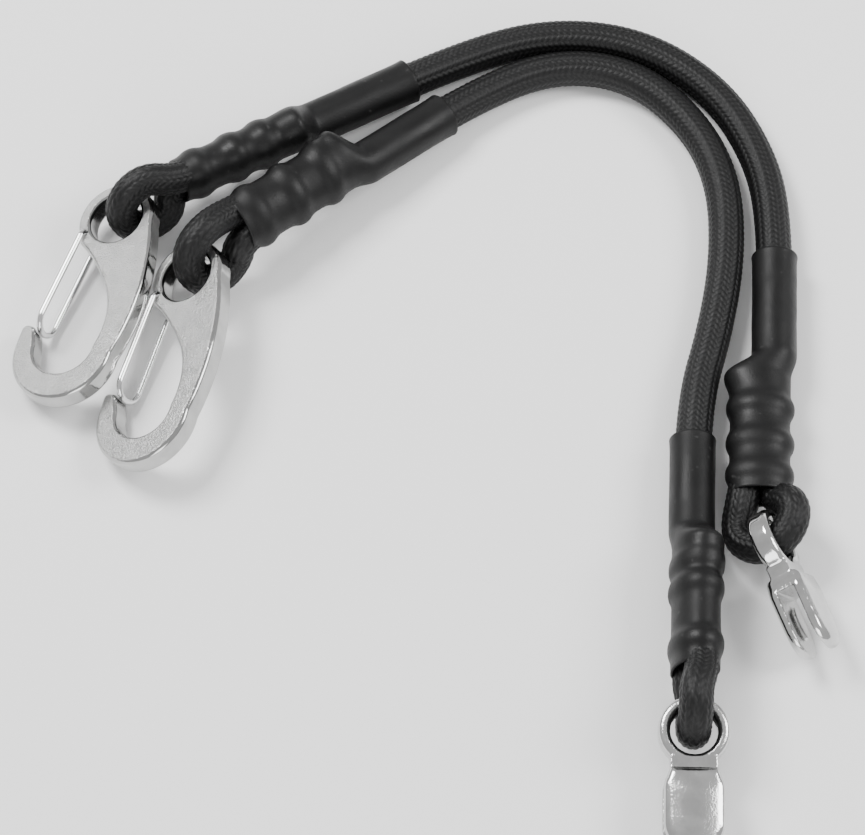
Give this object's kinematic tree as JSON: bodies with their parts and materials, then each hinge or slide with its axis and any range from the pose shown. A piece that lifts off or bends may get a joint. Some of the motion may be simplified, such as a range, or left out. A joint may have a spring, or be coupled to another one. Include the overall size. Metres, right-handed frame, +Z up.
{
  "type": "shock absorbing lanyard",
  "caption": "Matched bungee lanyards that absorb shock, each with a wire-gate snap hook at one end and a slotted clip at the other, on spliced loops in shrink sleeves",
  "frame": {"origin": "on the bench under the middle of the box round the sleeves, loops, hooks and clips", "axes": "+Z up from the bench, +Y towards the top of the arch that the cords make, +X towards the clips' side"},
  "size_m": [0.2256, 0.2611, 0.0281],
  "materials": {
    "cord_braid": "tightly braided polyester sheath, slightly shiny",
    "core_rubber": "natural latex strands, pressed together",
    "shrink_sleeve": "satin black heat-shrink tube, faint scuffs",
    "seizing": "tight nylon seizing, hidden by the sleeve",
    "hook_metal": "cast stainless steel, grainy satin faces and polished rims",
    "gate_wire": "bright drawn stainless spring wire",
    "clip_metal": "polished cast stainless steel with soft ripples"
  },
  "bodies": {
    "outer_lanyard": {"outer_sheath": "cord_braid", "outer_core": "core_rubber", "outer_hook_sleeve": "shrink_sleeve", "outer_hook_strand": "cord_braid", "outer_hook_tail": "cord_braid", "outer_hook_band_1": "seizing", "outer_hook_band_2": "seizing", "outer_hook_band_3": "seizing", "outer_hook_loop": "cord_braid", "outer_clip_sleeve": "shrink_sleeve", "outer_clip_strand": "cord_braid", "outer_clip_tail": "cord_braid", "outer_clip_band_1": "seizing", "outer_clip_band_2": "seizing", "outer_clip_band_3": "seizing", "outer_clip_loop": "cord_braid"},
    "outer_hook": {"outer_snap_hook": "hook_metal"},
    "outer_gate": {"outer_wire_gate": "gate_wire"},
    "outer_clip": {"outer_slotted_clip": "clip_metal"},
    "inner_lanyard": {"inner_sheath": "cord_braid", "inner_core": "core_rubber", "inner_hook_sleeve": "shrink_sleeve", "inner_hook_strand": "cord_braid", "inner_hook_tail": "cord_braid", "inner_hook_band_1": "seizing", "inner_hook_band_2": "seizing", "inner_hook_band_3": "seizing", "inner_hook_loop": "cord_braid", "inner_clip_sleeve": "shrink_sleeve", "inner_clip_strand": "cord_braid", "inner_clip_tail": "cord_braid", "inner_clip_band_1": "seizing", "inner_clip_band_2": "seizing", "inner_clip_band_3": "seizing", "inner_clip_loop": "cord_braid"},
    "inner_hook": {"inner_snap_hook": "hook_metal"},
    "inner_gate": {"inner_wire_gate": "gate_wire"},
    "inner_clip": {"inner_slotted_clip": "clip_metal"}
  },
  "joints": [
    {"name": "inner_lanyard_lift", "type": "slide", "parent": "outer_lanyard", "child": "inner_lanyard", "axis": [0, 0, 1], "range_m": [0, 0.12]},
    {"name": "outer_hook_swing", "type": "hinge", "parent": "outer_lanyard", "child": "outer_hook", "pos_m": [-0.08422, 0.06648, 0.01065], "axis": [-0.3369, 0.061, 0.9395], "range_deg": [-120, 0]},
    {"name": "outer_gate_hinge", "type": "hinge", "parent": "outer_hook", "child": "outer_gate", "pos_m": [-0.09289, 0.0632, 0.00775], "axis": [-0.3369, 0.061, 0.9395], "range_deg": [0, 26], "stiffness_Nm_per_rad": 0.3, "springref_deg": -6.88},
    {"name": "outer_clip_swing", "type": "hinge", "parent": "outer_lanyard", "child": "outer_clip", "pos_m": [0.09584, -0.03507, 0.01233], "axis": [0.8272, 0.2616, 0.4973], "range_deg": [-60, 0]},
    {"name": "inner_hook_swing", "type": "hinge", "parent": "inner_lanyard", "child": "inner_hook", "pos_m": [-0.06319, 0.04643, 0.01298], "axis": [-0.495, 0.0719, 0.8659], "range_deg": [0, 35]},
    {"name": "inner_gate_hinge", "type": "hinge", "parent": "inner_hook", "child": "inner_gate", "pos_m": [-0.07107, 0.04262, 0.00878], "axis": [-0.495, 0.0719, 0.8659], "range_deg": [0, 26], "stiffness_Nm_per_rad": 0.3, "springref_deg": -6.88},
    {"name": "inner_clip_swing", "type": "hinge", "parent": "inner_lanyard", "child": "inner_clip", "pos_m": [0.07257, -0.08973, 0.01209], "axis": [-0.0041, -0.1564, 0.9877], "range_deg": [-85, 85]}
  ]
}
